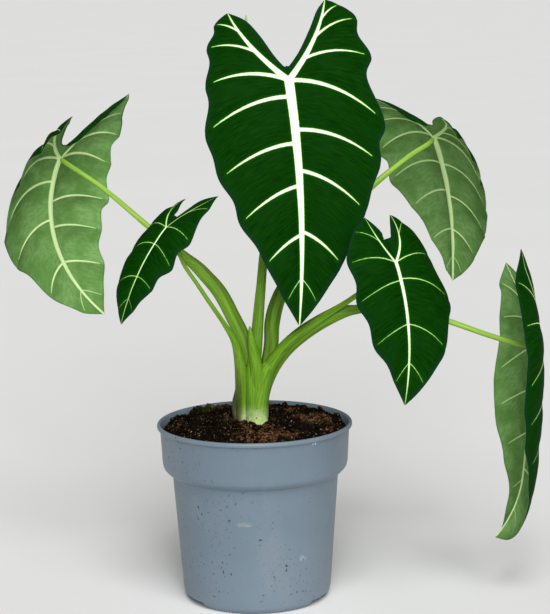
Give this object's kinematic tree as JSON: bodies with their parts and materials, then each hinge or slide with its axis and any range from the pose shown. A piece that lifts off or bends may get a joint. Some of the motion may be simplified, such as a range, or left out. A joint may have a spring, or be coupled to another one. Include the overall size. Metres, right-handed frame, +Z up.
{
  "type": "potted alocasia frydek",
  "caption": "Potted aroid with arrow-shaped dark leaves, pale raised veins and long sheathed stalks, in a plain round nursery pot filled with soil.",
  "frame": {"origin": "middle of the pot's flat underside, on the surface it stands on", "axes": "+Z up, along the pot's axis; -Y towards the side that the largest blade faces; +X to its right when seen from that side"},
  "size_m": [0.3307, 0.1797, 0.3654],
  "materials": {
    "pot_plastic": "matte grey-blue, a little dusty with soil",
    "peat": "dark damp peat with crumbs and clumps",
    "stalk": "smooth fleshy green, browner at the base and on the sheath edges",
    "new_leaf": "smooth pale green",
    "blade": "velvety very dark green above with broad pale veins, mid green below"
  },
  "bodies": {
    "root": {"pot": "pot_plastic", "soil": "peat", "stems": "stalk", "new_leaf": "new_leaf", "leaf_1": "blade", "leaf_2": "blade", "leaf_3": "blade", "leaf_4": "blade", "leaf_5": "blade", "leaf_6": "blade"}
  },
  "joints": []
}
